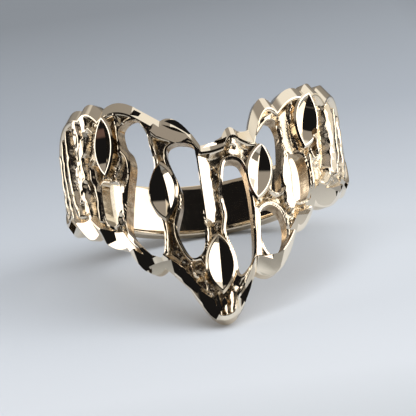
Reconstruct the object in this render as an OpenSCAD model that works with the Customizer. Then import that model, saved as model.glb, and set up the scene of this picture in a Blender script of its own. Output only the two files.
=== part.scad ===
// Crown ring: a wide cast ring with a pierced V front, five marquise cuts and a plain shank.
// It is drawn upright first: the finger axis is Z and the front faces -Y.
// Angles run round the finger from the front, to the right of it when positive, and heights
// run along the finger. It is then leaned back until its point and its shank touch the floor.

/* [Finger hole and shank] */
// Diameter of the finger hole
inner_d = 17.3; // [15:0.1:20]
// Width of the plain shank, along the finger
shank_w = 3.9; // [3.4:0.1:4.4]
// Thickness of the shank and of the raised rails
wall_t = 1.35; // [1.25:0.05:1.6]

/* [Openwork front] */
// Depth of the recesses below the rails
recess_d = 0.5; // [0.3:0.05:0.55]
// Depth of the hollow behind the openwork
hollow_d = 0.3; // [0.1:0.05:0.35]
// How far the bright cut rims drop below the rails
rim_drop = 0.55; // [0.3:0.05:0.7]
// Width of the rail round each opening
rail_w = 0.28; // [0.2:0.02:0.36]
// How much wider an opening is on the finger side
flare = 1.1; // [1:0.02:1.15]

/* [Marquise cuts] */
// Height of each marquise above the rails
boss_h = 0.12; // [0.05:0.01:0.2]
// Width of the bright frame round each cut
frame_w = 0.2; // [0.14:0.02:0.26]
// Slope of the two sides of each cut
cut_slope = 27; // [20:1:32]

/* [Hidden] */

inner_r = inner_d / 2;
rail_r = inner_r + wall_t;
floor_r = rail_r - recess_d;
rim_r = rail_r - rim_drop;
boss_r = rail_r + boss_h;
half_shank = shank_w / 2;

// Scallops of the rims: where each starts, its height there, its bulge to the next one,
// and the width of its bright cut
A = 0;
H = 1;
BULGE = 2;
CUT = 3;
UPPER = [
    [-260, half_shank, 0, 0.5],
    [-99, half_shank, 0.1, 0.6],
    [-81, 1.9, 0.85, 0.8],
    [-54, 2.6, 0.5, 0.8],
    [-42, 1.7, 0.5, 0.9],
    [-24, 0.75, 0, 0.8],
    [-15, -0.6, 0.85, 0.9],
    [0, -3, -0.1, 0.6],
    [9, -2.45, 0.45, 0.9],
    [15, -2.1, -0.1, 0.7],
    [21, -1.9, 1.25, 1.3],
    [33, -0.05, 0.6, 0.8],
    [51, 1.6, 0.6, 0.9],
    [63, 2.2, 1.1, 1.1],
    [87, 2.2, 0.1, 0.8],
    [105, half_shank, 0, 0.5],
    [260, half_shank, 0, 0.5],
];
LOWER = [
    [-260, -half_shank, 0, 0.5],
    [-105, -half_shank, -0.3, 0.6],
    [-90, -3.6, -0.7, 0.8],
    [-69, -5.2, -0.7, 1],
    [-54, -6.5, -0.5, 1],
    [-36, -8.8, -1, 0.9],
    [-21, -10.9, 0, 0.9],
    [-12, -12.8, -1.8, 1.1],
    [9, -14.2, 0, 0.9],
    [15, -12.2, -1.3, 0.9],
    [36, -9.2, -0.5, 1],
    [48, -7, -0.45, 1],
    [72, -5.3, -0.7, 0.9],
    [90, -2.5, -0.15, 0.7],
    [105, -half_shank, 0, 0.5],
    [260, -half_shank, 0, 0.5],
];
// Where round the ring the recesses and the hollow behind them fade out
RECESS_FADE = [[-92, 0], [-82, 1], [82, 1], [92, 0]];
HOLLOW_FADE = [[-72, 0], [-58, 1], [58, 1], [72, 0]];

// Openings: the angle and the height that each is cut at, and its outline as [angle, height]
AXIS_A = 0;
AXIS_H = 1;
OUTLINE = 2;
OPENINGS = [
    [-26, -5, [[-32, -0.7], [-28.5, -0.25], [-24, -0.4], [-21.3, -1.1], [-20, -2.2],
        [-19, -3.9], [-21.9, -5.3], [-22.1, -6.3], [-18.7, -8.1], [-18.9, -9.4],
        [-20.3, -10.1], [-24, -9.9], [-29, -8.9], [-33, -7.8], [-33.4, -7],
        [-31, -5], [-28.6, -3.4], [-29.2, -2.5], [-31.5, -1.8]]],
    [-7, -6.8, [[-12.6, -3], [-9, -2.75], [-3.2, -3.1], [-2.3, -3.8], [-2.3, -7],
        [-3.2, -9.7], [-5, -10.6], [-8.5, -10.8], [-11.2, -9.9], [-12.9, -8.6],
        [-10.2, -7.1], [-9.6, -5.9], [-12.8, -3.8]]],
    [11, -8, [[7.7, -4.9], [9.4, -4.4], [13.6, -4.5], [15.6, -5.4], [16.2, -7], [15.8, -9],
        [14.4, -11], [12.5, -11.8], [8.2, -12.5], [7.5, -11], [5.2, -9.4], [6.4, -8.2],
        [5.7, -6.7], [6.7, -5.8]]],
    [28, -4, [[21.8, -3.1], [24, -2.4], [28, -1.6], [31.2, -1.6], [32.9, -2.4],
        [31.8, -4.2], [30.2, -5.3], [29.6, -6.5], [25.6, -6.5], [27.2, -5], [25.6, -3.7]]],
    [24.5, -9.3, [[20.2, -7.9], [24.5, -7.5], [28.6, -8], [29.9, -9.1], [28.6, -10.2],
        [25.5, -11], [21, -11.1], [18.8, -10.2], [18.8, -9]]],
    [39.5, -5.4, [[35.7, -3.9], [41.3, -3.6], [43.3, -4.2], [43.6, -5.4], [42.3, -6.6],
        [39.5, -7.1], [34.8, -7.1], [35.5, -5.4]]],
    [-40.5, -5.2, [[-44.7, -3.7], [-40, -3.9], [-36.3, -4.1], [-35.9, -5], [-36.4, -6],
        [-39, -6.8], [-42, -6.8], [-44.6, -6]]],
    [50.3, -2.4, [[48.9, -1.9], [51.3, -1.5], [51.9, -2.3], [50.6, -3.5], [48.8, -3]]],
];
corner_r = 0.16;

// Marquises: the angle and height of the middle, the length and width of the cut, and its tilt
LENGTH = 2;
WIDTH = 3;
TILT = 4;
MARQUISES = [
    [-39.8, -1.2, 3.95, 1.45, 4],
    [-16.4, -5.85, 3.7, 1.7, 1],
    [1.4, -11.6, 3.6, 1.55, 3],
    [21.3, -5.25, 3.8, 1.5, 12],
    [47.2, -0.95, 4.25, 1.75, 17],
];

// Ridges of the recesses: half the width, and the points that each passes, as [angle, height]
HALF = 0;
PATH = 1;
RIDGES = [
    [0.28, [[-80, 1.3], [-81, -0.6], [-79, -2.4], [-75, -4]]],
    [0.28, [[-72.5, 1.7], [-74, -0.4], [-72, -2.6], [-67, -4.6]]],
    [0.25, [[-66, 1.9], [-67.3, 0], [-67, -2.4], [-64, -4], [-61, -4.8]]],
    [0.25, [[-57.6, 2], [-57, 0.6], [-55.6, -1.2], [-55, -3.2], [-54.2, -5.6]]],
    [0.3, [[-51.2, 1.8], [-51.8, 0.5], [-54.8, -1]]],
    [0.16, [[-51.6, 0.6], [-48, 0.7], [-45.2, 0.2]]],
    [0.22, [[-48.3, -2.2], [-47.2, -4], [-46.7, -6.2]]],
    [0.14, [[-34.6, 0.9], [-33.2, -0.3], [-33.2, -1.3], [-34.6, -2.3], [-37.2, -3.4]]],
    [0.3, [[-33.4, -4.4], [-34.4, -5.8], [-36.2, -7]]],
    [0.4, [[-22, 0.1], [-16.5, -1.3], [-12, -1.95], [-6, -2.5], [-1, -3.6]]],
    [0.36, [[0.3, -4.2], [0.3, -6.4], [0.2, -8.4]]],
    [0.12, [[-9.3, -11.4], [-8.2, -10.9], [-5.6, -10.9], [-4.4, -11.6], [-5.9, -12.2],
        [-8.6, -12.1], [-9.4, -11.7]]],
    [0.14, [[-1.2, -13.8], [-0.8, -14.4]]],
    [0.16, [[2, -13.8], [2.3, -14.4]]],
    [0.16, [[6.5, -13.5], [10.4, -12.6], [13.6, -11.8]]],
    [0.3, [[16, -2.8], [15, -3.7], [13.4, -4.3]]],
    [0.22, [[20.4, -3], [24, -1.9], [30, -0.9]]],
    [0.18, [[33.2, -0.2], [35, -1.6], [34.6, -3], [33.6, -4.4]]],
    [0.4, [[33.4, -4.6], [32.6, -6.2], [32.8, -7.6]]],
    [0.14, [[41.4, 0.5], [40.4, -0.9], [40.8, -2.3], [42, -3.4]]],
    [0.22, [[46.2, -3.5], [46.6, -4.9], [45.4, -6.5]]],
    [0.2, [[17.8, -8], [17.4, -9.4], [16.2, -10.8], [16, -11.6]]],
    [0.2, [[54.6, 0.4], [53.6, -1.6], [51.8, -3.2]]],
    [0.5, [[65, 0.8], [62.4, -1.2], [60, -3.2]]],
    [0.32, [[60, -3.2], [57, -4.4], [51, -5.4]]],
    [0.3, [[74, 1.3], [71.5, -0.8], [69, -2.4], [65, -4]]],
    [0.3, [[81, 1.2], [79, -1], [76, -2.8], [71, -4.4]]],
];

// Half of a ridge's width and its height at five points, as shares, the taper of its ends, how
// deep it is rooted in the floor and how far its top stays below the rails
RIDGE_SHAPE = [[-1.35, 0], [-0.8, 0.9], [0, 1], [0.8, 0.9], [1.35, 0]];
ridge_end = 0.6;
ridge_root = 0.15;
ridge_drop = 0.05;

// Height of a rim at an angle: straight between two rows, plus the bulge of the first
function row_at(rows, a) = max([for (i = [0 : len(rows) - 2]) if (rows[i][A] <= a) i]);
function rim_height(rows, a) =
    let (i = row_at(rows, a), s = rows[i], e = rows[i + 1], t = (a - s[A]) / (e[A] - s[A]))
    s[H] + t * (e[H] - s[H]) + 4 * s[BULGE] * t * (1 - t);
function cut_width(rows, a) =
    let (i = row_at(rows, a), s = rows[i], e = rows[i + 1], t = (a - s[A]) / (e[A] - s[A]))
    s[CUT] + t * (e[CUT] - s[CUT]);

function at_angle(a, r, h) = [r * sin(a), -r * cos(a), h];

// Cross-section of the band at an angle, as [radius, height]
rim_rail = 0.35;
step_w = 0.15;
back_edge = 0.75;
function section(a) =
    let (lo = rim_height(LOWER, a), up = rim_height(UPPER, a),
        cut_lo = cut_width(LOWER, a), cut_up = cut_width(UPPER, a),
        bed = rail_r - recess_d * lookup(a, RECESS_FADE),
        back = inner_r + hollow_d * lookup(a, HOLLOW_FADE))
    [
        [inner_r, lo], [rim_r, lo], [rail_r, lo + cut_lo],
        [rail_r, lo + cut_lo + rim_rail], [bed, lo + cut_lo + rim_rail + step_w],
        [bed, up - cut_up - rim_rail - step_w], [rail_r, up - cut_up - rim_rail],
        [rail_r, up - cut_up], [rim_r, up], [inner_r, up],
        [inner_r, up - back_edge], [back, up - back_edge - 2 * step_w],
        [back, lo + back_edge + 2 * step_w], [inner_r, lo + back_edge],
    ];

// Angles of the sections: close together round the front, wide apart along the shank,
// where an odd number of steps leaves a short flat at the very back for the ring to rest on
front_step = 3;
front_end = 105;
shank_steps = 19;
shank_arc = 360 - 2 * front_end;
STATIONS = concat(
    [for (a = [-front_end : front_step : front_end]) a],
    [for (i = [1 : shank_steps - 1]) front_end + shank_arc * i / shank_steps]);

module band() {
    sides = len(section(0));
    count = len(STATIONS);
    points = [for (a = STATIONS) for (p = section(a > 260 ? a - 360 : a)) at_angle(a, p[0], p[1])];
    faces = [for (i = [0 : count - 1]) for (k = [0 : sides - 1])
        let (n = (i + 1) % count, m = (k + 1) % sides)
        each [
            [i * sides + k, n * sides + m, n * sides + k],
            [i * sides + k, i * sides + m, n * sides + m],
        ]];
    polyhedron(points, faces);
}

// Puts a flat outline of [across, height] on the ring and extrudes it outwards
module outward(angle, height, from_r, to_r, grow = 1, turn = 0) {
    rotate([0, 0, angle])
        translate([0, -from_r, height])
            rotate([90, turn, 0])
                linear_extrude(height = to_r - from_r, scale = 1 / grow)
                    scale(grow)
                        children();
}

module opening_outline(hole) {
    offset(r = corner_r, $fn = 12)
        offset(delta = -corner_r)
            polygon([for (p = hole[OUTLINE])
                [rail_r * sin(p[0] - hole[AXIS_A]), p[1] - hole[AXIS_H]]]);
}

module opening(hole) {
    outward(hole[AXIS_A], hole[AXIS_H], inner_r - 0.8, rail_r + 0.6, flare)
        opening_outline(hole);
}

// Raised border round an opening
module opening_rail(hole) {
    outward(hole[AXIS_A], hole[AXIS_H], floor_r - 0.3, rail_r + 0.4)
        offset(delta = rail_w)
            opening_outline(hole);
}

// Pointed oval with two arcs, as long and as wide as given
function arc_r(long, wide) = (long * long + wide * wide) / (4 * wide);
module marquise(long, wide) {
    r = arc_r(long, wide);
    half_turn = asin(long / 2 / r);
    steps = 5;
    side = [for (i = [-steps : steps]) let (t = half_turn * i / steps)
        [r * cos(t) - r + wide / 2, r * sin(t)]];
    polygon(concat(side, [for (i = [1 : len(side) - 2]) -side[i]]));
}

module boss(m) {
    outward(m[A], m[H], floor_r - 0.3, boss_r + 0.3, 1, m[TILT])
        marquise(m[LENGTH] + 3 * frame_w, m[WIDTH] + 2 * frame_w);
}

// Cut with two sloping sides that meet along the middle line, under a short upright lip
cut_lip = 0.04;
module groove(m) {
    depth = m[WIDTH] / 2 * tan(cut_slope);
    hull() {
        outward(m[A], m[H], boss_r - cut_lip, boss_r + 0.5, 1, m[TILT])
            marquise(m[LENGTH], m[WIDTH]);
        outward(m[A], m[H], boss_r - depth * 0.75, boss_r, 1, m[TILT])
            square([0.01, m[LENGTH] / 2], center = true);
        outward(m[A], m[H], boss_r - depth, boss_r, 1, m[TILT])
            square([0.01, 0.1], center = true);
    }
}

// Cross-section of a ridge at one point of its path: five points, from foot to foot
function course(path, i) =
    let (p = path[max(i - 1, 0)], n = path[min(i + 1, len(path) - 1)],
        along = [rail_r * (n[0] - p[0]) * PI / 180, n[1] - p[1]])
    along / norm(along);
function ridge_slice(row, i) =
    let (path = row[PATH], dir = course(path, i),
        half = row[HALF] * (i == 0 || i == len(path) - 1 ? ridge_end : 1))
    [for (k = RIDGE_SHAPE)
        let (side = k[0] * half, r = floor_r - ridge_root + k[1] * (recess_d + ridge_root - ridge_drop))
        at_angle(path[i][0] + dir[1] * side / r * 180 / PI, r, path[i][1] - dir[0] * side)];

module ridge(row) {
    for (i = [0 : len(row[PATH]) - 2])
        hull()
            polyhedron(concat(ridge_slice(row, i), ridge_slice(row, i + 1)),
                [[0, 1, 2, 3, 4], [5, 6, 7, 8, 9]]);
}

// Raised work is trimmed to a round surface, a little proud of the rims' rails
rail_lift = 0.03;
module raised_work() {
    round_fn = 72;
    intersection() {
        translate([0, 0, -20])
            cylinder(h = 30, r = rail_r + rail_lift, $fn = round_fn);
        for (hole = OPENINGS)
            opening_rail(hole);
    }
    intersection() {
        translate([0, 0, -20])
            cylinder(h = 30, r = boss_r, $fn = round_fn);
        for (m = MARQUISES)
            boss(m);
    }
    for (row = RIDGES)
        ridge(row);
}

module upright_ring() {
    difference() {
        union() {
            band();
            raised_work();
        }
        for (hole = OPENINGS)
            opening(hole);
        for (m = MARQUISES)
            groove(m);
    }
}

// The ring leans back until the point of its V and the flat at the back of its shank touch
// the floor. Each place below is [y, z] on the upright ring.
tip_h = rim_height(LOWER, 0);
back_turn = shank_arc / shank_steps / 2;
TIP = [-inner_r, tip_h];
HEEL = [rim_r * cos(back_turn), -half_shank];
lean = atan2(HEEL[1] - TIP[1], HEEL[0] - TIP[0]);
function leaned(p) = [p[0] * cos(lean) + p[1] * sin(lean), p[1] * cos(lean) - p[0] * sin(lean)];
front_y = leaned([-rim_r, tip_h])[0];
back_y = leaned([rail_r * cos(back_turn), half_shank - cut_width(UPPER, -180)])[0];

module ring() {
    color([0.86, 0.74, 0.52])
        translate([0, -(front_y + back_y) / 2, -leaned(TIP)[1]])
            rotate([-lean, 0, 0])
                upright_ring();
}

ring();
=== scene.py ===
"""Looks of a cast gold crown ring: one fused mesh with its cuts, rails, ridges and grain.

Heights and widths are in millimetres and angles in degrees until the mesh is made, as in the tables of
the part's source. Angles run round the finger from the front, to the right of it when positive, and
heights run along the finger.
"""
import math

import bpy
import numpy as np
from mathutils import Matrix, Vector


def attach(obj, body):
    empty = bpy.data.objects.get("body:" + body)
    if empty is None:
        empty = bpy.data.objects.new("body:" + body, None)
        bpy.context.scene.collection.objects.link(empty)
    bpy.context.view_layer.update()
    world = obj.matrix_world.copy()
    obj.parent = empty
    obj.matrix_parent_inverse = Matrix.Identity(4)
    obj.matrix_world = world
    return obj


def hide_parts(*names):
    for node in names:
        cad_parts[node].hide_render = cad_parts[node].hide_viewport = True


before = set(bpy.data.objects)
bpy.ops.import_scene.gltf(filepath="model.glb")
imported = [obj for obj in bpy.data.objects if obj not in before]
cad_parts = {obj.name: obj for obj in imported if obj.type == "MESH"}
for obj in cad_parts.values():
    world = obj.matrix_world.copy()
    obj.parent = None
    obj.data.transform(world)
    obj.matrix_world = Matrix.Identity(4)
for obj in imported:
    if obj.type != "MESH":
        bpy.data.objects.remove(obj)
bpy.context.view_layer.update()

MM = 0.001

# Driving sizes of the ring
INNER_D = 17.3
SHANK_W = 3.9
WALL_T = 1.35
RECESS_D = 0.5
HOLLOW_D = 0.3
RIM_DROP = 0.55
BOSS_H = 0.12

INNER_R = INNER_D / 2
RAIL_R = INNER_R + WALL_T
FLOOR_R = RAIL_R - RECESS_D
RIM_R = RAIL_R - RIM_DROP
BOSS_R = RAIL_R + BOSS_H
HALF_SHANK = SHANK_W / 2

# Width of the rail along each rim, and of the border behind it on the finger side
RIM_RAIL = 0.35
BACK_EDGE = 0.75
# Width of the frame of each marquise, and the slope of the two sides of its cut
FRAME_W = 0.2
CUT_SLOPE = 27

# Slope of the bright cuts of the lower and the upper rim, by angle
LOWER_TILT = ([-105, -90, -50, -47, -25.5, -24, -19, -18, -3.6, -1, 6, 8, 14, 16, 90, 105],
              [46, 30, 30, 20, 18, 33, 33, 18, 18, 34, 34, 20, 20, 32, 30, 46])
UPPER_TILT = ([-105, -90, 90, 105], [48, 32, 32, 48])
# Steeper edge of the lower rim: its width, its slope, and by angle how much wider it is at the point
EDGE_W = 0.1
EDGE_TILT = 54
TIP_EDGE = ([-20, -17, 5, 8], [1, 1.8, 1.8, 1])

# Scallops of the rims: start angle, height there, bulge to the next row, width of the bright cut
UPPER = np.array([
    [-260, HALF_SHANK, 0, 0.5], [-99, HALF_SHANK, 0.1, 0.6], [-81, 1.9, 0.85, 0.8],
    [-54, 2.6, 0.5, 0.8], [-42, 1.7, 0.5, 0.9], [-24, 0.75, 0, 0.8], [-15, -0.6, 0.85, 0.9],
    [0, -3, -0.1, 0.6], [9, -2.45, 0.45, 0.9], [15, -2.1, -0.1, 0.7], [21, -1.9, 1.25, 1.3],
    [33, -0.05, 0.6, 0.8], [51, 1.6, 0.6, 0.9], [63, 2.2, 1.1, 1.1], [87, 2.2, 0.1, 0.8],
    [105, HALF_SHANK, 0, 0.5], [260, HALF_SHANK, 0, 0.5],
])
LOWER = np.array([
    [-260, -HALF_SHANK, 0, 0.5], [-105, -HALF_SHANK, -0.3, 0.6], [-90, -3.6, -0.7, 0.8],
    [-69, -5.2, -0.7, 1], [-54, -6.5, -0.5, 1], [-36, -8.8, -1, 0.9], [-21, -10.9, 0, 0.9],
    [-12, -12.8, -1.8, 1.1], [9, -14.2, 0, 0.9], [15, -12.2, -1.3, 0.9], [36, -9.2, -0.5, 1],
    [48, -7, -0.45, 1], [72, -5.3, -0.7, 0.9], [90, -2.5, -0.15, 0.7],
    [105, -HALF_SHANK, 0, 0.5], [260, -HALF_SHANK, 0, 0.5],
])
# Where round the ring the recesses and the hollow behind them fade out
RECESS_FADE = ([-92, -82, 82, 92], [0, 1, 1, 0])
HOLLOW_FADE = ([-72, -58, 58, 72], [0, 1, 1, 0])

# Openings: the angle and the height that each is cut at, and its outline as (angle, height)
OPENINGS = [
    (-26, -5, [(-32, -0.7), (-28.5, -0.25), (-24, -0.4), (-21.3, -1.1), (-20, -2.2),
               (-19, -3.9), (-21.9, -5.3), (-22.1, -6.3), (-18.7, -8.1), (-18.9, -9.4),
               (-20.3, -10.1), (-24, -9.9), (-29, -8.9), (-33, -7.8), (-33.4, -7),
               (-31, -5), (-28.6, -3.4), (-29.2, -2.5), (-31.5, -1.8)]),
    (-7, -6.8, [(-12.6, -3), (-9, -2.75), (-3.2, -3.1), (-2.3, -3.8), (-2.3, -7),
                (-3.2, -9.7), (-5, -10.6), (-8.5, -10.8), (-11.2, -9.9), (-12.9, -8.6),
                (-10.2, -7.1), (-9.6, -5.9), (-12.8, -3.8)]),
    (11, -8, [(7.7, -4.9), (9.4, -4.4), (13.6, -4.5), (15.6, -5.4), (16.2, -7), (15.8, -9),
              (14.4, -11), (12.5, -11.8), (8.2, -12.5), (7.5, -11), (5.2, -9.4), (6.4, -8.2),
              (5.7, -6.7), (6.7, -5.8)]),
    (28, -4, [(21.8, -3.1), (24, -2.4), (28, -1.6), (31.2, -1.6), (32.9, -2.4), (31.8, -4.2),
              (30.2, -5.3), (29.6, -6.5), (25.6, -6.5), (27.2, -5), (25.6, -3.7)]),
    (24.5, -9.3, [(20.2, -7.9), (24.5, -7.5), (28.6, -8), (29.9, -9.1), (28.6, -10.2),
                  (25.5, -11), (21, -11.1), (18.8, -10.2), (18.8, -9)]),
    (39.5, -5.4, [(35.7, -3.9), (41.3, -3.6), (43.3, -4.2), (43.6, -5.4), (42.3, -6.6),
                  (39.5, -7.1), (34.8, -7.1), (35.5, -5.4)]),
    (-40.5, -5.2, [(-44.7, -3.7), (-40, -3.9), (-36.3, -4.1), (-35.9, -5), (-36.4, -6),
                   (-39, -6.8), (-42, -6.8), (-44.6, -6)]),
    (50.3, -2.4, [(48.9, -1.9), (51.3, -1.5), (51.9, -2.3), (50.6, -3.5), (48.8, -3)]),
]

# Marquises: angle and height of the middle, length and width of the cut, its tilt, and how many
# degrees its right side stands up
MARQUISES = [
    (-39.8, -1.2, 3.95, 1.45, 4, 1),
    (-16.4, -5.85, 3.7, 1.7, 1, 3),
    (1.4, -11.6, 3.6, 1.55, 3, 0),
    (21.3, -5.25, 3.8, 1.5, 12, 0),
    (47.2, -0.95, 4.25, 1.75, 17, 5),
]

# Ridges of the recesses: half the width, squareness, tilt of the top in degrees, and the path as
# (angle, height). A positive tilt faces the right of a falling path. There are two more than in the
# part, near the point, and some of the others are wider, narrower or moved.
ROUND = 2.4
FLAT = 8
RIDGES = [
    (0.28, ROUND, 0, [(-80, 1.3), (-81, -0.6), (-79, -2.4), (-75, -4)]),
    (0.28, ROUND, 0, [(-72.5, 1.7), (-74, -0.4), (-72, -2.6), (-67, -4.6)]),
    (0.32, ROUND, 0, [(-66, 1.9), (-67.3, 0), (-67, -2.4), (-64, -4), (-61, -4.8)]),
    (0.36, FLAT, 0, [(-57.6, 2), (-57, 0.6), (-55.8, -1.2), (-55.2, -3.2), (-54.4, -5.6)]),
    (0.34, FLAT, 0, [(-51.4, 1.9), (-51.8, 0.5), (-54.8, -1)]),
    (0.16, ROUND, 0, [(-51.6, 0.6), (-48, 0.7), (-45.2, 0.2)]),
    (0.22, ROUND, 0, [(-48.3, -2.2), (-47.2, -4), (-46.7, -6.2)]),
    (0.2, ROUND, 0, [(-33.8, 1), (-32.6, -0.3), (-32.6, -1.3), (-33.4, -2.4), (-36, -3.6)]),
    (0.3, FLAT, -7, [(-33.4, -4.4), (-34.4, -5.8), (-36.2, -7)]),
    (0.4, FLAT, 0, [(-22, 0.1), (-16.5, -1.3), (-12, -1.95), (-6, -2.5), (-1, -3.6)]),
    (0.36, FLAT, 22, [(0.3, -4.2), (0.3, -6.4), (0.2, -8.4)]),
    (0.12, ROUND, 0, [(-9.3, -11.4), (-8.2, -10.9), (-5.6, -10.9), (-4.4, -11.6), (-5.9, -12.2),
                      (-8.6, -12.1), (-9.4, -11.7)]),
    (0.1, FLAT, 32, [(-1.2, -13.7), (-1.1, -15.1)]),
    (0.15, FLAT, 32, [(1.2, -14), (1.3, -15.1)]),
    (0.2, FLAT, 30, [(4.3, -13.6), (4, -14.4), (3.9, -15.1)]),
    (0.4, FLAT, 22, [(11.5, -11.8), (8.5, -12.7), (6.3, -13.5)]),
    (0.2, FLAT, 24, [(13.8, -11.9), (10.4, -12.8), (7, -13.8), (5, -14.8)]),
    (0.5, FLAT, 25, [(15, -2.3), (14.4, -3.2), (13, -4)]),
    (0.22, ROUND, 0, [(20.4, -3), (24, -1.9), (30, -0.9)]),
    (0.18, ROUND, 0, [(33.2, -0.2), (35, -1.6), (34.6, -3), (33.6, -4.4)]),
    (0.4, FLAT, 0, [(33.4, -4.6), (32.6, -6.2), (32.8, -7.6)]),
    (0.14, ROUND, 0, [(41.4, 0.5), (40.4, -0.9), (40.8, -2.3), (42, -3.4)]),
    (0.22, ROUND, 0, [(46.2, -3.5), (46.6, -4.9), (45.4, -6.5)]),
    (0.3, FLAT, 15, [(17.8, -8), (17.4, -9.4), (16.2, -10.8), (16, -11.6)]),
    (0.2, ROUND, 0, [(54.6, 0.4), (53.6, -1.6), (51.8, -3.2)]),
    (0.44, FLAT, -12, [(65.5, 1), (63, -0.8), (61.4, -3), (58.6, -4.4)]),
    (0.3, ROUND, 0, [(58.4, -4.4), (54.4, -5.2), (50, -5.6)]),
    (0.3, ROUND, 0, [(74, 1.3), (71.5, -0.8), (69, -2.4), (65, -4)]),
    (0.3, ROUND, 0, [(81, 1.2), (79, -1), (76, -2.8), (71, -4.4)]),
]

# How the ring lies, as the part does: on its point and on the flat that an odd number of steps
# round the part's shank leaves at its very back
SHANK_STEPS = 19
FRONT_END = 105
BACK_TURN = math.radians((360 - 2 * FRONT_END) / SHANK_STEPS / 2)


def rim_height(rows, angle):
    """Height of a rim: straight between two rows, plus the bulge of the first."""
    i = np.clip(np.searchsorted(rows[:, 0], angle, side="right") - 1, 0, len(rows) - 2)
    t = (angle - rows[i, 0]) / (rows[i + 1, 0] - rows[i, 0])
    return rows[i, 1] + t * (rows[i + 1, 1] - rows[i, 1]) + 4 * rows[i, 2] * t * (1 - t)


def cut_width(rows, angle):
    """Width of a rim's bright cut."""
    return np.interp(angle, rows[:, 0], rows[:, 3])


# Share of the lower rim's cut and rail that is left where the ridges run down to the point
POINT = ([-3, -1.6, 4.4, 6.2], [1, 0.3, 0.3, 1])


def lower_cut(angle):
    """Width of the lower rim's bright cut, narrowed at the point."""
    return cut_width(LOWER, angle) * np.interp(angle, *POINT)


TIP_H = float(rim_height(LOWER, 0.0))
TIP = (-INNER_R, TIP_H)
HEEL = (RIM_R * math.cos(BACK_TURN), -HALF_SHANK)
LEAN = math.atan2(HEEL[1] - TIP[1], HEEL[0] - TIP[0])


def leaned(y, z):
    """Depth and height of a point once the ring leans back."""
    return (y * math.cos(LEAN) + z * math.sin(LEAN), z * math.cos(LEAN) - y * math.sin(LEAN))


FRONT_Y = leaned(-RIM_R, TIP_H)[0]
BACK_Y = leaned(RAIL_R * math.cos(BACK_TURN), HALF_SHANK - cut_width(UPPER, -180))[0]
SHIFT_Y = -(FRONT_Y + BACK_Y) / 2
SHIFT_Z = -leaned(*TIP)[1]
LAY = Matrix.Translation((0, SHIFT_Y * MM, SHIFT_Z * MM)) @ Matrix.Rotation(-LEAN, 4, "X")

# Points along each stretch of a smooth path
CURVE_STEPS = 6


def smooth_path(points, closed=False):
    """Curve through the points, each stretch bent by its neighbours."""
    p = np.array(points, float)
    before = np.roll(p, 1, 0) if closed else np.vstack([2 * p[0] - p[1], p[:-1]])
    after = np.roll(p, -1, 0) if closed else np.vstack([p[1:], 2 * p[-1] - p[-2]])
    slope = (after - before) / 2
    count = len(p) if closed else len(p) - 1
    curve = []
    for i in range(count):
        a, b = p[i], p[(i + 1) % len(p)]
        reach = np.linalg.norm(b - a)
        tangents = []
        for s in (slope[i], slope[(i + 1) % len(p)]):
            length = np.linalg.norm(s)
            tangents.append(s * min(1, reach / max(length, 1e-6)))
        for t in np.arange(CURVE_STEPS) / CURVE_STEPS:
            h = (2 * t**3 - 3 * t**2 + 1, t**3 - 2 * t**2 + t, 3 * t**2 - 2 * t**3, t**3 - t**2)
            curve.append(h[0] * a + h[1] * tangents[0] + h[2] * b + h[3] * tangents[1])
    if not closed:
        curve.append(p[-1])
    return np.array(curve)


def unrolled(path):
    """(angle, height) points as lengths on the rail's cylinder."""
    p = np.array(path, float)
    return np.stack([RAIL_R * np.radians(p[:, 0]), p[:, 1]], 1)


FAR = 99.0


def nearest(u, v, line, widths):
    """Distance to a line, distance across it, and its half width at the nearest point."""
    best = np.full(u.shape, FAR)
    across = np.zeros(u.shape)
    half = np.ones(u.shape)
    for p, q, wp, wq in zip(line[:-1], line[1:], widths[:-1], widths[1:]):
        d = q - p
        size = max(d @ d, 1e-9)
        t = np.clip(((u - p[0]) * d[0] + (v - p[1]) * d[1]) / size, 0, 1)
        du, dv = u - p[0] - t * d[0], v - p[1] - t * d[1]
        dist = np.hypot(du, dv)
        near = dist < best
        best = np.where(near, dist, best)
        across = np.where(near, (dv * d[0] - du * d[1]) / math.sqrt(size), across)
        half = np.where(near, wp + t * (wq - wp), half)
    return best, across, half


def distance_to(u, v, line):
    return nearest(u, v, line, np.ones(len(line)))[0]


# How far beyond a line's box its effect is worked out
REACH = 1.2


def around(u, v, line):
    """True where a point lies in a line's box or within reach of it."""
    low, high = line.min(0) - REACH, line.max(0) + REACH
    return (u > low[0]) & (u < high[0]) & (v > low[1]) & (v < high[1])


def inside(u, v, line):
    """True where a point lies in a closed line."""
    result = np.zeros(u.shape, bool)
    for (x0, y0), (x1, y1) in zip(line, np.roll(line, -1, 0)):
        crosses = (y0 > v) != (y1 > v)
        if y0 != y1:
            result ^= crosses & (u < (x1 - x0) * (v - y0) / (y1 - y0) + x0)
    return result


def smooth_step(x):
    t = np.clip(x, 0, 1)
    return t * t * (3 - 2 * t)


# Difference in height below which the higher of two surfaces is blended with the other
BLEND = 0.07


def smooth_max(a, b):
    gap = np.maximum(BLEND - np.abs(a - b), 0)
    return np.maximum(a, b) + gap * gap / (4 * BLEND)


NOISE_SIZE = 97
# Keeps the numbers of the noise's cells positive
NOISE_SHIFT = 500


def noise(u, v, cell, seed):
    """Smooth random height between -1 and 1, with one bump in each cell."""
    table = np.random.default_rng(seed).uniform(-1, 1, (NOISE_SIZE, NOISE_SIZE))
    x, y = u / cell + NOISE_SHIFT, v / cell + NOISE_SHIFT
    i, j = np.floor(x).astype(int), np.floor(y).astype(int)
    sx, sy = smooth_step(x - i), smooth_step(y - j)
    corner = [[table[(i + a) % NOISE_SIZE, (j + b) % NOISE_SIZE] for b in (0, 1)] for a in (0, 1)]
    low = corner[0][0] * (1 - sx) + corner[1][0] * sx
    high = corner[0][1] * (1 - sx) + corner[1][1] * sx
    return low * (1 - sy) + high * sy


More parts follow.
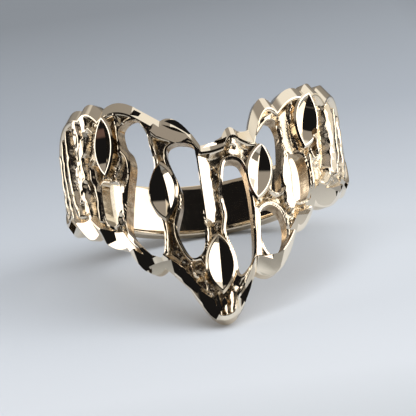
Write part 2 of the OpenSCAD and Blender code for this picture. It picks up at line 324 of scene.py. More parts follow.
def outline(hole):
    """Smooth outline of an opening in its own flat plane."""
    angle, height, points = hole
    flat = [(RAIL_R * math.sin(math.radians(a - angle)), h - height) for a, h in points]
    return smooth_path(flat, closed=True)


OUTLINES = [outline(hole) for hole in OPENINGS]

# Border of each opening: how far from its edge it is highest, its reach beyond that, its height as a
# share of the recess's depth, and the opening's width inside as a share of its width outside
RAILS = [(0.17, 0.26, 1, 1.1), (0.16, 0.26, 1, 1.1), (0.16, 0.24, 1, 1), (0.15, 0.22, 1, 1.1),
         (0.12, 0.2, 0.6, 0.88), (0.13, 0.2, 1, 1.05), (0.1, 0.18, 0.6, 1.1), (0.1, 0.2, 0.8, 1.1)]
# Share of its height that a border loses from its crest to the opening
RAIL_DROP = 0.2
# Power that rounds the shoulders of rails and ridges
SHOULDER = 0.6


def rail_rise(distance, rail):
    """Height of an opening's border: it slopes to the opening from its crest."""
    top, fall, height, _ = rail
    outer = 1 - RAIL_DROP * np.clip(1 - distance / top, 0, 1)
    inner = (1 - np.clip((distance - top) / fall, 0, 1) ** ROUND) ** SHOULDER
    return height * np.where(distance < top, outer, inner)


# Pits of the cast work: half the width, depth below what is round them, and the path as
# (angle, height). A negative depth is a swelling.
PITS = [
    (0.4, 0.2, [(-62, 1.6), (-62.5, 0.4)]),
    (0.16, 0.25, [(-54.4, 1.9), (-53.4, 0.6)]),
    (0.6, -0.3, [(-62, -1), (-61, -2.4), (-60, -3.4)]),
    (0.45, 0.2, [(-50.5, 0.2), (-48.3, -0.8)]),
    (0.45, -0.22, [(-50, -2), (-49.4, -3)]),
    (0.22, 0.3, [(-54, -3), (-52.2, -4.2), (-50.6, -5.4)]),
    (0.14, 0.25, [(-59.5, -4.1), (-58.5, -5)]),
    (0.3, 0.2, [(-34, -2.5), (-32.6, -3.3), (-32.2, -4.2)]),
    (0.2, 0.25, [(-36, -6.6), (-34.6, -7.8)]),
    (0.2, 0.35, [(-33.2, 1.1), (-32.8, 1)]),
    (0.14, 0.3, [(-30.4, -0.2), (-29.4, -0.3)]),
    (0.35, 0.15, [(-19.4, -1.5), (-17, -2.2), (-16, -3.1)]),
    (0.25, 0.12, [(-15.8, -8.3), (-16.2, -9.8)]),
    (0.25, 0.15, [(-8.4, -12.2), (-5.8, -12.9)]),
    (0.2, 0.15, [(-8, -11.3), (-6, -11.4)]),
    (0.2, 0.3, [(-1, -8.6), (0.6, -9.2)]),
    (0.22, 0.2, [(3.2, -3.9), (4.6, -4.3)]),
    (0.22, 0.25, [(4.3, -5.6), (4.2, -6.8)]),
    (0.1, 0.25, [(3, -3.65), (8, -3.3), (13, -3.4)]),
    (0.18, 0.3, [(32.4, -1.2), (33.4, -3)]),
    (0.7, 0.6, [(36.6, 0.3), (37.8, -1.2), (38.6, -3.2)]),
    (0.2, 0.5, [(-35.2, 0.7), (-34.4, -0.8), (-34.8, -2.3)]),
    (0.16, 0.25, [(38.2, 0.6), (39, 0.2)]),
    (0.07, 0.25, [(62, 1.8), (66, 1.7)]),
    (0.75, 0.6, [(56.8, 0.3), (57.2, -1.6)]),
    (0.25, 0.4, [(58.6, -2.2), (57.4, -3.8)]),
    (0.25, 0.3, [(70.5, 0.8), (68.5, -1), (66.5, -3)]),
    (0.18, 0.15, [(25, -6.9), (28, -6.8), (30, -6.3)]),
    (0.35, -0.15, [(8, -12.8), (10.4, -12.2)]),
    (0.5, -0.14, [(-9, -11.8), (-6, -12.6), (-3.4, -13.2)]),
]
# Reach of a pit, as a share of half its width, and the depth of the deepest place
PIT_SLOPE = 1.5
DEEPEST_PIT = 0.4

# Skin of the cast work: the size of the cells and the height of its creases, bumps and fine bumps,
# how far all of it is lowered, and its lowest place
CREASE_CELL, CREASE_H = 0.55, 0.22
BUMP_CELL, BUMP_H = 0.32, 0.13
FINE_CELL, FINE_H = 0.2, 0.06
SKIN_DROP = 0.08
LOWEST_SKIN = -0.2
# At this height the skin starts to calm down towards the point, over a span, to a share of its relief
CALM_TOP = -13.6
CALM_SPAN = 0.5
CALM_SHARE = 0.15

# How far ridges and pits wander from their paths, and the size of the wandering's cells
WANDER = 0.09
WANDER_CELL = 0.75
# Ridges: their reach and their width at the ends, as shares of half the width, how fast they taper,
# and their wrinkles
RIDGE_SPREAD = 1.3
RIDGE_END = 0.6
RIDGE_TAPER = 4
WRINKLE_CELL, WRINKLE_H = 0.4, 0.03
# Within this angle of an opening or a marquise a place is on its side of the ring
SAME_SIDE = 60


def cast_skin(u, v, calm):
    crease = (1 - np.abs(noise(u, v, CREASE_CELL, 1))) ** 3
    rise = (CREASE_H * crease + BUMP_H * noise(u, v, BUMP_CELL, 2)
            + FINE_H * noise(u, v, FINE_CELL, 3) - SKIN_DROP)
    return np.maximum(rise, LOWEST_SKIN) * calm


def raise_ridges(rise, u, v, calm):
    for half, power, tilt, points in RIDGES:
        line = unrolled(smooth_path(points))
        near = around(u, v, line)
        along = np.linspace(0, 1, len(line))
        taper = np.minimum(1, RIDGE_END + RIDGE_TAPER * np.minimum(along, 1 - along))
        dist, across, width = nearest(u[near], v[near], line, half * taper)
        x = np.clip(dist / (RIDGE_SPREAD * width), 0, 1)
        top = RECESS_D * (1 - x**power) ** SHOULDER
        top -= math.tan(math.radians(tilt)) * np.clip(across + width, 0, 2 * width)
        wrinkle = WRINKLE_H * noise(u[near], v[near], WRINKLE_CELL, 7)
        rise[near] = smooth_max(rise[near], top + wrinkle * calm[near])


def raise_rails(rise, angle, height):
    for (hole_angle, hole_height, _), line, rail in zip(OPENINGS, OUTLINES, RAILS):
        x = RAIL_R * np.sin(np.radians(angle - hole_angle))
        y = height - hole_height
        near = around(x, y, line) & (abs(angle - hole_angle) < SAME_SIDE)
        x, y = x[near], y[near]
        dist = np.where(inside(x, y, line), 0, distance_to(x, y, np.vstack([line, line[:1]])))
        rise[near] = smooth_max(rise[near], RECESS_D * rail_rise(dist, rail))


def sink_pits(rise, u, v):
    for half, depth, points in PITS:
        line = unrolled(smooth_path(points))
        near = around(u, v, line)
        dist = distance_to(u[near], v[near], line)
        rise[near] -= depth * (1 - smooth_step(dist / half / PIT_SLOPE))


def recess_height(angle, height):
    """Height of the cast work above the floor of the recesses."""
    u, v = RAIL_R * np.radians(angle), height
    calm = np.clip((height - CALM_TOP) / CALM_SPAN + 1, CALM_SHARE, 1)
    rise = cast_skin(u, v, calm)
    u = u + WANDER * noise(u, v, WANDER_CELL, 4)
    v = v + WANDER * noise(u, v, WANDER_CELL, 5)
    raise_ridges(rise, u, v, calm)
    raise_rails(rise, angle, height)
    sink_pits(rise, u, v)
    return np.maximum(rise, -DEEPEST_PIT)


# Rows of the outer surface: how many cross a bright cut, a rim's rail and the recesses
CUT_ROWS = 7
RAIL_ROWS = 5
RECESS_ROWS = 128
# Steps in degrees: along the front, out to an angle on either side, then along the sides and the shank
FRONT_STEP = 0.35
FACE_END = 80.5
SIDE_STEP = 0.875
SHANK_STEP = 3
# Width of the slope from a rim's rail down to the recesses, and how far on the rail it starts
RAIL_ROUND = 0.45
RAIL_SLOPE = 0.24


def stations():
    """Angles of the band's sections."""
    left = np.arange(-FRONT_END, -FACE_END, SIDE_STEP)
    front = np.arange(-FACE_END, FACE_END + FRONT_STEP / 2, FRONT_STEP)
    back = np.arange(FRONT_END + SHANK_STEP, 360 - FRONT_END, SHANK_STEP)
    return np.concatenate([left, front, -left[::-1], back])


def outer_rows(angle):
    """Heights across the outer surface at each angle, from the lower rim to the upper."""
    lo, up = rim_height(LOWER, angle), rim_height(UPPER, angle)
    stops = [lo, lo + lower_cut(angle)]
    stops.append(stops[1] + RIM_RAIL * np.interp(angle, *POINT))
    top = [up, up - cut_width(UPPER, angle)]
    top.append(top[1] - RIM_RAIL)
    stops += top[::-1]
    counts = [CUT_ROWS, RAIL_ROWS, RECESS_ROWS, RAIL_ROWS, CUT_ROWS]
    rows = []
    for a, b, n in zip(stops[:-1], stops[1:], counts):
        rows += [a + (b - a) * k / n for k in range(n)]
    rows.append(stops[-1])
    return np.stack(rows, 1), stops


def outer_radius(angle, heights, stops):
    """Radius of the outer surface: the bright cuts, the rims' rails and the cast work between."""
    lo, lo_cut, lo_rail, up_rail, up_cut, up = [s[:, None] for s in stops]
    wide = np.broadcast_to(angle[:, None], heights.shape)
    fade = np.interp(wide, *RECESS_FADE)
    edge = np.minimum(heights - lo_rail, up_rail - heights) + RAIL_SLOPE
    rim = RECESS_D * (1 - smooth_step(edge / RAIL_ROUND))
    rise = recess_height(wide, heights)
    rise = np.where(edge < 0, RECESS_D, smooth_max(rise, rim))
    radius = RAIL_R - RECESS_D * fade + rise * fade
    fall = np.tan(np.radians(np.interp(wide, *LOWER_TILT)))
    lower = RAIL_R - (lo_cut - heights) * fall
    step = math.tan(math.radians(EDGE_TILT)) - fall
    edge_w = EDGE_W * np.interp(wide, *TIP_EDGE)
    lower -= np.maximum(lo + edge_w - heights, 0) * step
    upper = RAIL_R - (heights - up_cut) * np.tan(np.radians(np.interp(wide, *UPPER_TILT)))
    return np.minimum(radius, np.minimum(lower, upper))


# Finger side: width and depth of the rounding along each rim, width of the step down to the hollow,
# how far from a rim its points lie, and where the points of the hollow's middle do
ROUND_W = 0.12
ROUND_D = 0.1
STEP_W = 0.3
BACK_STOPS = [0, ROUND_W, 0.4, BACK_EDGE, BACK_EDGE + 0.1, BACK_EDGE + 0.2, BACK_EDGE + STEP_W]
MIDDLE_STOPS = [0.5, 0, -0.5]


def inner_surface(angle):
    """Radius and height of the finger side at each angle, from the upper rim to the lower."""
    lo, up = rim_height(LOWER, angle), rim_height(UPPER, angle)
    middle = (up + lo) / 2
    depth = HOLLOW_D * np.interp(angle, *HOLLOW_FADE)
    radius, height = [], []
    for side, rim in ((1, up), (-1, lo)):
        stops = BACK_STOPS if side == 1 else BACK_STOPS[::-1]
        for stop in stops:
            share = smooth_step((stop - BACK_EDGE) / STEP_W)
            edge = ROUND_D * max(0, 1 - stop / ROUND_W) ** 2
            radius.append(INNER_R + depth * share + edge)
            height.append(rim - side * stop)
        if side == 1:
            radius += [INNER_R + depth] * len(MIDDLE_STOPS)
            height += [middle + (up - BACK_STOPS[-1] - middle) * k for k in MIDDLE_STOPS]
    return np.stack(radius, 1), np.stack(height, 1)


def new_object(name, points, faces):
    """Mesh object from points in millimetres."""
    mesh = bpy.data.meshes.new(name)
    mesh.from_pydata((np.asarray(points) * MM).tolist(), [], [list(map(int, f)) for f in faces])
    mesh.update()
    obj = bpy.data.objects.new(name, mesh)
    bpy.context.scene.collection.objects.link(obj)
    return obj


def casting():
    """The whole band as one closed grid of sections, before anything is cut through it."""
    angle = stations()
    wrapped = np.where(angle > 180, angle - 360, angle)
    heights, stops = outer_rows(wrapped)
    radius = outer_radius(wrapped, heights, stops)
    back_radius, back_height = inner_surface(wrapped)
    radius = np.hstack([radius, back_radius])
    heights = np.hstack([heights, back_height])
    turn = np.radians(wrapped)[:, None]
    points = np.stack([radius * np.sin(turn), -radius * np.cos(turn), heights], 2)
    n, m = radius.shape
    i, k = np.meshgrid(np.arange(n), np.arange(m), indexing="ij")
    nxt, up = (i + 1) % n, (k + 1) % m
    faces = np.stack([i * m + k, nxt * m + k, nxt * m + up, i * m + up], 2).reshape(-1, 4)
    return new_object("ring_band", points.reshape(-1, 3), faces)


def placed(x, y, radius, angle, height, tilt=0):
    """Point of a flat drawing that is set on the ring at an angle and a height."""
    t, a = math.radians(tilt), math.radians(angle)
    across = x * math.cos(t) + y * math.sin(t)
    along = y * math.cos(t) - x * math.sin(t)
    return (across * math.cos(a) + radius * math.sin(a),
            across * math.sin(a) - radius * math.cos(a), height + along)


def loft(name, rings):
    """Closed solid through rings of points, with flat ends."""
    count = len(rings[0])
    points = [p for ring in rings for p in ring]
    faces = []
    for r in range(len(rings) - 1):
        for k in range(count):
            n = (k + 1) % count
            faces.append([r * count + k, r * count + n, (r + 1) * count + n, (r + 1) * count + k])
    faces.append(list(range(count))[::-1])
    faces.append([(len(rings) - 1) * count + k for k in range(count)])
    obj = new_object(name, points, faces)
    obj.data.validate()
    return obj


# Radii between which the tools that cut the openings reach
OPENING_IN = INNER_R - 0.8
OPENING_OUT = RAIL_R + 0.6


def opening_tool(index):
    """Straight cut through the band, wider or narrower inside."""
    angle, height, _ = OPENINGS[index]
    line = OUTLINES[index]
    area = np.sum(line[:, 0] * np.roll(line[:, 1], -1) - line[:, 1] * np.roll(line[:, 0], -1))
    if area < 0:
        line = line[::-1]
    levels = ((OPENING_IN, RAILS[index][3]), (OPENING_OUT, 1))
    rings = [[placed(x * grow, y * grow, radius, angle, height) for x, y in line]
             for radius, grow in levels]
    return loft("opening_%d" % index, rings)


def marquise_half(length, width, s):
    """Half the width of a pointed oval at a distance from its middle."""
    radius = (length * length + width * width) / (4 * width)
    return np.sqrt(np.maximum(radius * radius - s * s, 0)) - radius + width / 2


MARQUISE_STEPS = 28


def marquise_line(length, width):
    s = length / 2 * np.sin(np.linspace(-math.pi / 2, math.pi / 2, MARQUISE_STEPS + 1))
    right = [(marquise_half(length, width, v), v) for v in s]
    return right + [(-x, y) for x, y in right[-2:0:-1]]


# Width and depth of the bevel round each boss, and how deep its foot reaches into the recess's floor
BOSS_BEVEL = 0.13
BOSS_DROP = 0.11
BOSS_FOOT = 0.35


def boss(index):
    """Raised frame of a marquise, half as wide again at its points."""
    angle, height, length, width, tilt, turn = MARQUISES[index]
    rise = math.tan(math.radians(turn))
    long, wide = length + 3 * FRAME_W, width + 2 * FRAME_W
    levels = ((FLOOR_R - BOSS_FOOT, 0), (BOSS_R - BOSS_DROP, 0), (BOSS_R, BOSS_BEVEL))
    rings = []
    for radius, inset in levels:
        line = marquise_line(long - 3 * inset, wide - 2 * inset)
        rings.append([placed(x, y, radius + x * rise, angle, height, tilt) for x, y in line])
    return loft("boss_%d" % index, rings)


# How far the cutting tool stands above the boss, its sections, and half its width at the points
CUT_LIFT = 0.5
CUT_STEPS = 30
CUT_END = 0.004


def groove(index):
    """Cut with two sides of one slope, whose keel rises to the points."""
    angle, height, length, width, tilt, turn = MARQUISES[index]
    rise = math.tan(math.radians(turn))
    rings = []
    for s in length / 2 * np.sin(np.linspace(-math.pi / 2, math.pi / 2, CUT_STEPS + 1)):
        half = max(marquise_half(length, width, s), CUT_END)
        keel = half * math.tan(math.radians(CUT_SLOPE))
        section = [(half, BOSS_R + CUT_LIFT), (half, BOSS_R), (0, BOSS_R - keel),
                   (-half, BOSS_R), (-half, BOSS_R + CUT_LIFT)]
        rings.append([placed(x, s, r + x * rise, angle, height, tilt) for x, r in section])
    return loft("groove_%d" % index, rings)


# Flat bright facets: angle and height of the middle, its depth below the surface, the way it faces
# as azimuth to the right of the front and elevation above the floor, half its reach across and
# along, and its spin
FACETS = [
    (-62, -5.9, 0.1, -48, 14, 1.5, 0.9, 0),
    (-46, -7.1, 0.16, -33, 18, 0.9, 0.8, 0),
    (-38.8, -8.1, 0.15, -47, 13, 1.3, 1, 0),
    (-29.5, -10, 0.18, -25, 18, 0.9, 0.8, 0),
    (-22, -11, 0.12, -20, 6, 0.9, 0.6, 0),
    (-13.5, -11.9, 0.05, -14, 17, 1.5, 0.35, 47),
    (-6.9, -13.8, 0.06, -7, 17, 1.4, 0.9, 45),
    (12, -13.5, 0.04, 11, 17, 0.9, 0.45, -48),
    (18, -11.6, 0.06, 34, 24, 0.7, 0.6, 0),
    (24, -11.5, 0.14, 24, 7, 1.4, 1, 0),
    (37, -8.2, 0.12, 44, 14, 1.6, 0.5, 0),
    (38.5, -8.3, 0.08, 42, 5, 1.6, 1, 0),
    (52, -6.4, 0.16, 54, 4, 1.8, 1, 0),
    (62.5, -4.9, 0.1, 61, 9, 0.8, 0.6, 0),
    (72, -4.6, 0.1, 70, 8, 0.7, 0.6, 0),
    (-74, -5, 0.1, -72, 9, 0.9, 0.7, 0),
    (-23.8, 0.35, 0.12, -25, 33, 0.3, 0.25, 25),
    (-11, -1.9, 0.12, -13, 46, 1.5, 0.45, 35),
    (-7.6, -1.15, 0.17, -5, 33, 1.15, 0.3, 42),
    (4.5, -2.95, 0.14, 34, 30, 0.85, 0.2, -8),
    (0.5, -6.2, 0.2, 31, 33, 0.38, 2.4, 0),
]
# Height of the block that cuts a facet
FACET_LIFT = 0.8


def smooth_radius(angle, height):
    """Radius of the band and of its bright cuts, without the recesses."""
    lower = rim_height(LOWER, angle) + lower_cut(angle) - height
    upper = height - rim_height(UPPER, angle) + cut_width(UPPER, angle)
    fall = math.tan(math.radians(np.interp(angle, *LOWER_TILT)))
    upper_fall = math.tan(math.radians(np.interp(angle, *UPPER_TILT)))
    return RAIL_R - max(0, lower * fall, upper * upper_fall)


def towards(azimuth, elevation):
    """Direction in the room, from its azimuth to the right of the front and its elevation."""
    a, e = math.radians(azimuth), math.radians(elevation)
    return Vector((math.sin(a) * math.cos(e), -math.cos(a) * math.cos(e), math.sin(e)))


def turned(right, up, angle):
    """Two directions at right angles, turned in their own plane."""
    t = math.radians(angle)
    return right * math.cos(t) - up * math.sin(t), right * math.sin(t) + up * math.cos(t)


def facet_plane(index):
    """Outward direction of a facet and a point of it, on the upright ring."""
    angle, height, depth, azimuth, elevation = FACETS[index][:5]
    radius = smooth_radius(angle, height) - depth
    out = LAY.to_3x3().inverted() @ towards(azimuth, elevation)
    return out, Vector(placed(0, 0, radius, angle, height))


def facet_tool(index):
    """Block whose flat foot cuts a facet."""
    across, along, spin = FACETS[index][5:]
    out, middle = facet_plane(index)
    side = Vector((0, 0, 1)).cross(out).normalized()
    up = out.cross(side)
    side, up = turned(side, up, spin)
    corners = [(-across, -along), (across, -along), (across, along), (-across, along)]
    rings = [[middle + side * x + up * y + out * z for x, y in corners] for z in (0, FACET_LIFT)]
    return loft("facet_%d" % index, rings)


def apply_tools(obj, tools):
    """Adds and cuts each tool in turn, and leaves one plain mesh."""
    for operation, tool in tools:
        change = obj.modifiers.new(tool.name, "BOOLEAN")
        change.object = tool
        change.operation = operation
        change.solver = "MANIFOLD"
    bpy.context.view_layer.update()
    evaluated = obj.evaluated_get(bpy.context.evaluated_depsgraph_get())
    result = bpy.data.meshes.new_from_object(evaluated)
    obj.modifiers.clear()
    obj.data = result
    for _, tool in tools:
        bpy.data.objects.remove(tool)


def upright_ring():
    """The band with its facets, bosses, openings and marquise cuts, before it is laid down."""
    band = casting()
    tools = [("DIFFERENCE", facet_tool(i)) for i in range(len(FACETS))]
    tools += [("UNION", boss(i)) for i in range(len(MARQUISES))]
    tools += [("DIFFERENCE", opening_tool(i)) for i in range(len(OPENINGS))]
    tools += [("DIFFERENCE", groove(i)) for i in range(len(MARQUISES))]
    apply_tools(band, tools)
    band.name = band.data.name = "gold_ring"
    return band


POLISHED, CAST, CUT, WALL = 0, 1, 2, 3
# How much of a face's direction points away from the finger: at least this on cast work, bright cuts
# and the tops of the bosses, and at most this on the sides of the openings
CAST_FACING = 0.15
CUT_FACING = 0.2
BOSS_FACING = 0.5
WALL_FACING = 0.4
# Cast work starts this far below the rails, and the sides of the openings start this far below them
# and end this far above the finger side
CAST_TOP = 0.12
WALL_TOP = 0.15
WALL_FOOT = 0.1
# Left of this angle the sides of the openings keep the polished gold of the rails, without the painted
# shade of the other openings' sides
WALL_START = -34.5
# A face is on the side of an opening when it is this close to the opening's outline, on a facet when
# its direction and its place agree this closely, and on a marquise cut within this margin
WALL_REACH = 0.05
FACET_COSINE = 0.999
FACET_GAP = 0.01
MARQUISE_GAP = 0.02
# Bends above which an edge is sharp, beside a bright cut and elsewhere
CUT_BEND = 7
CAST_BEND = 40
# Depth below the rails that counts as 1 for the colour of the cast work, whose painted shade darkens
# with depth
DEEPEST = 0.8


def vectors(items, name):
    """Places or directions of all of a mesh's points or faces."""
    values = np.zeros(len(items) * 3)
    items.foreach_get(name, values)
    return values.reshape(-1, 3)


def mark_depth(mesh):
    """Gives each point how deep it lies below the rails."""
    points = vectors(mesh.vertices, "co") / MM
    depth = np.clip((RAIL_R - np.hypot(points[:, 0], points[:, 1])) / DEEPEST, 0, 1)
    attribute = mesh.attributes.new("depth", "FLOAT", "POINT")
    attribute.data.foreach_set("value", depth.astype(np.float32))


def beside_opening(radius, angle, height):
    """True where a face lies on the side of an opening."""
    result = np.zeros(radius.shape, bool)
    for (hole_angle, hole_height, _), line, rail in zip(OPENINGS, OUTLINES, RAILS):
        grow = 1 + (rail[3] - 1) * (OPENING_OUT - radius) / (OPENING_OUT - OPENING_IN)
        x = radius * np.sin(np.radians(angle - hole_angle)) / grow
        y = (height - hole_height) / grow
        near = around(x, y, line) & (abs(angle - hole_angle) < SAME_SIDE)
        dist = distance_to(x[near], y[near], np.vstack([line, line[:1]]))
        result[near] |= dist < WALL_REACH
    return result


def sort_facets(finish, centre, normal):
    for index in range(len(FACETS)):
        out, middle = (np.array(v) for v in facet_plane(index))
        same_way = normal @ out > FACET_COSINE
        finish[same_way & (abs((centre - middle) @ out) < FACET_GAP)] = CUT


def sort_marquises(finish, radius, angle, height, facing):
    """Marks the marquise cuts, and polishes the frames round them."""
    for middle, level, length, width, tilt, _ in MARQUISES:
        t = math.radians(tilt)
        x = RAIL_R * np.sin(np.radians(angle - middle))
        y = height - level
        across = x * math.cos(t) - y * math.sin(t)
        along = x * math.sin(t) + y * math.cos(t)
        half = marquise_half(length, width, along)
        on_top = (abs(angle - middle) < SAME_SIDE) & (radius > FLOOR_R) & (facing > BOSS_FACING)
        finish[on_top & (abs(across) < half + MARQUISE_GAP) & (abs(along) < length / 2)] = CUT
        border = on_top & (abs(across) < half + FRAME_W) & (radius > RAIL_R + MARQUISE_GAP)
        finish[border & (finish == CAST)] = POLISHED


def sort_faces(mesh):
    """Gives each face its finish, and marks the sharp edges."""
    centre = vectors(mesh.polygons, "center") / MM
    normal = vectors(mesh.polygons, "normal")
    height = centre[:, 2]
    angle = np.degrees(np.arctan2(centre[:, 0], -centre[:, 1]))
    radius = np.hypot(centre[:, 0], centre[:, 1])
    facing = (normal[:, 0] * centre[:, 0] + normal[:, 1] * centre[:, 1]) / radius
    margin = np.minimum((height - rim_height(LOWER, angle)) / lower_cut(angle),
                        (rim_height(UPPER, angle) - height) / cut_width(UPPER, angle))
    finish = np.full(len(mesh.polygons), POLISHED)
    finish[(margin > 1) & (radius < RAIL_R - CAST_TOP) & (facing > CAST_FACING)] = CAST
    finish[(margin < 1) & (facing > CUT_FACING)] = CUT
    side = (abs(facing) < WALL_FACING) & (angle > WALL_START)
    side &= (radius > INNER_R + WALL_FOOT) & (radius < RAIL_R - WALL_TOP)
    finish[side & beside_opening(radius, angle, height)] = WALL
    sort_facets(finish, centre, normal)
    sort_marquises(finish, radius, angle, height, facing)
    mesh.polygons.foreach_set("material_index", finish.astype(np.int32))
    sharpen(mesh, normal, finish == CUT)


def sharpen(mesh, normal, cut):
    """Marks the sharp edges, where a bright cut needs only a slight bend to have one."""
    loops = np.zeros(len(mesh.loops), np.int32)
    mesh.loops.foreach_get("edge_index", loops)
    size = np.zeros(len(mesh.polygons), np.int32)
    mesh.polygons.foreach_get("loop_total", size)
    face = np.repeat(np.arange(len(mesh.polygons)), size)
    order = np.argsort(loops, kind="stable")
    edge = np.arange(len(mesh.edges))
    first = face[order[np.searchsorted(loops[order], edge)]]
    last = face[order[np.searchsorted(loops[order], edge, side="right") - 1]]
    bend = np.degrees(np.arccos(np.clip(np.sum(normal[first] * normal[last], 1), -1, 1)))
    limit = np.where(cut[first] | cut[last], CUT_BEND, CAST_BEND)
    sharp = mesh.attributes.new("sharp_edge", "BOOLEAN", "EDGE")
    sharp.data.foreach_set("value", bend > limit)


def socket(node, name, value):
    node.inputs[name].default_value = value


def add(tree, kind, **values):
    node = tree.nodes.new(kind)
    for name, value in values.items():
        setattr(node, name, value)
    return node


def new_material(name):
    """Material, its tree, its shader and the place of each point."""
    material = bpy.data.materials.new(name)
    material.use_nodes = True
    tree = material.node_tree
    place = add(tree, "ShaderNodeTexCoord").outputs["Object"]
    return material, tree, tree.nodes["Principled BSDF"], place


def new_metal(name):
    material, tree, shader, place = new_material(name)
    socket(shader, "Metallic", 1)
    return material, tree, shader, place


def noise_texture(tree, place, scale, detail=2):
    texture = add(tree, "ShaderNodeTexNoise")
    socket(texture, "Scale", scale)
    socket(texture, "Detail", detail)
    tree.links.new(place, texture.inputs["Vector"])
    return texture.outputs["Fac"]


def grain(tree, place, shader, scale, detail, strength, depth):
    """Fine relief from noise, of a depth in millimetres."""
    texture = noise_texture(tree, place, scale, detail)
    bump = add(tree, "ShaderNodeBump")
    socket(bump, "Strength", strength)
    socket(bump, "Distance", depth * MM)
    tree.links.new(texture, bump.inputs["Height"])
    tree.links.new(bump.outputs["Normal"], shader.inputs["Normal"])
    return texture


def ramp(tree, source, stops):
    """Colour that a value gives, from (position, colour) stops."""
    node = add(tree, "ShaderNodeValToRGB")
    node.color_ramp.elements[0].position = stops[0][0]
    node.color_ramp.elements[0].color = stops[0][1]
    node.color_ramp.elements[1].position = stops[-1][0]
    node.color_ramp.elements[1].color = stops[-1][1]
    for position, color in stops[1:-1]:
        node.color_ramp.elements.new(position).color = color
    tree.links.new(source, node.inputs["Fac"])
    return node.outputs["Color"]


def colored(tree, shader, source, stops):
    tree.links.new(ramp(tree, source, stops), shader.inputs["Base Color"])


def roughened(tree, shader, source, stops):
    """Roughness that a value gives, from (position, roughness) stops."""
    greys = [(position, grey(value)) for position, value in stops]
    tree.links.new(ramp(tree, source, greys), shader.inputs["Roughness"])


def grey(value):
    return (value, value, value, 1)


GOLD = (0.84, 0.70, 0.51, 1)
GOLD_PALE = (0.92, 0.81, 0.66, 1)
GOLD_BRIGHT = (0.94, 0.84, 0.68, 1)
# Painted shade of the cast work: darker gold for the recesses and near-black for the deepest pits
RECESS_SHADE_PAINTED = (0.56, 0.46, 0.34, 1)
PIT_SHADE_PAINTED = (0.04, 0.03, 0.022, 1)
# Painted shade of the sides of the openings: gold darkened to two deeper tones
WALL_SHADE_PAINTED = (0.7, 0.55, 0.38, 1)
WALL_DEEP_SHADE_PAINTED = (0.42, 0.31, 0.2, 1)

# Grain of each finish: scale, detail and strength of its noise, and depth in millimetres
POLISHED_GRAIN = (2600, 3, 0.25, 0.01)
CAST_GRAIN = (5200, 4, 0.6, 0.04)
CUT_GRAIN = (1500, 2, 0.08, 0.01)
WALL_GRAIN = (2200, 3, 0.5, 0.03)
# Scale of the clouds that vary the tone of the polished gold and of the bright cuts
POLISHED_CLOUDS = 420
CUT_CLOUDS = 300


def polished_gold():
    material, tree, shader, place = new_metal("gold_polished")
    haze = grain(tree, place, shader, *POLISHED_GRAIN)
    roughened(tree, shader, haze, [(0.35, 0.07), (0.7, 0.16)])
    clouds = noise_texture(tree, place, POLISHED_CLOUDS)
    colored(tree, shader, clouds, [(0.35, GOLD), (0.75, GOLD_PALE)])
    return material


def cast_gold():
    """The cast work, with painted shade: its colour is darker the deeper it lies."""
    material, tree, shader, place = new_metal("gold_cast")
    pits = grain(tree, place, shader, *CAST_GRAIN)
    roughened(tree, shader, pits, [(0.3, 0.28), (0.7, 0.14)])
    depth = add(tree, "ShaderNodeAttribute", attribute_name="depth").outputs["Fac"]
    # Painted shade: pale on the raised cast work, darker down into the recesses and near-black in the
    # deepest pits
    colored(tree, shader, depth, [(0.2, GOLD_PALE), (0.6, GOLD), (0.72, RECESS_SHADE_PAINTED), (0.86, PIT_SHADE_PAINTED)])
    return material


def cut_gold():
    material, tree, shader, place = new_metal("gold_bright_cut")
    lines = grain(tree, place, shader, *CUT_GRAIN)
    roughened(tree, shader, lines, [(0.3, 0.03), (0.8, 0.06)])
    clouds = noise_texture(tree, place, CUT_CLOUDS)
    colored(tree, shader, clouds, [(0.3, GOLD_PALE), (0.8, GOLD_BRIGHT)])
    return material


def wall_gold():
    """The sides of the openings, less polished, with shade painted into their deeper colour."""
    material, tree, shader, place = new_metal("gold_wall")
    marks = grain(tree, place, shader, *WALL_GRAIN)
    roughened(tree, shader, marks, [(0.3, 0.3), (0.7, 0.2)])
    # Painted shade: darker gold on the sides of the openings, varied at random by the marks
    colored(tree, shader, marks, [(0.4, WALL_DEEP_SHADE_PAINTED), (0.6, WALL_SHADE_PAINTED)])
    return material


def gold_ring():
    ring = upright_ring()
    ring.data.materials.clear()
    ring.data.shade_smooth()
    mark_depth(ring.data)
    sort_faces(ring.data)
    for material in (polished_gold(), cast_gold(), cut_gold(), wall_gold()):
        ring.data.materials.append(material)
    ring.data.transform(LAY)
    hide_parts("ring")
    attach(ring, "root")


# Camera, fitted to the photograph: the size of the picture in pixels, how far it stands from the
# middle of the finger hole, how it looks at the upright ring, its focal length in pixels, and where in
# the picture that middle is
IMAGE = 416
CAMERA_DISTANCE = 160
CAMERA_DROP = 22.279
CAMERA_TURN = -0.025
CAMERA_ROLL = 8.158
FOCAL_PX = 2268.9
MIDDLE_PX = (202.23, 161.87)
SENSOR = 36
CLIP_START = 10


def add_camera():
    turn = math.radians(CAMERA_TURN)
    out = towards(CAMERA_TURN, -CAMERA_DROP)
    right = Vector((math.cos(turn), math.sin(turn), 0))
    right, up = turned(right, out.cross(right), CAMERA_ROLL)
    aside = right * (IMAGE / 2 - MIDDLE_PX[0]) - up * (IMAGE / 2 - MIDDLE_PX[1])
    eye = (out + aside / FOCAL_PX) * CAMERA_DISTANCE
    facing = Matrix((right, up, out)).transposed().to_4x4()
    camera = bpy.data.objects.new("camera", bpy.data.cameras.new("camera"))
    camera.matrix_world = LAY @ Matrix.Translation(eye * MM) @ facing
    camera.data.sensor_width = SENSOR
    camera.data.lens = FOCAL_PX / IMAGE * SENSOR
    camera.data.clip_start = CLIP_START * MM
    bpy.context.scene.collection.objects.link(camera)
    bpy.context.scene.camera = camera
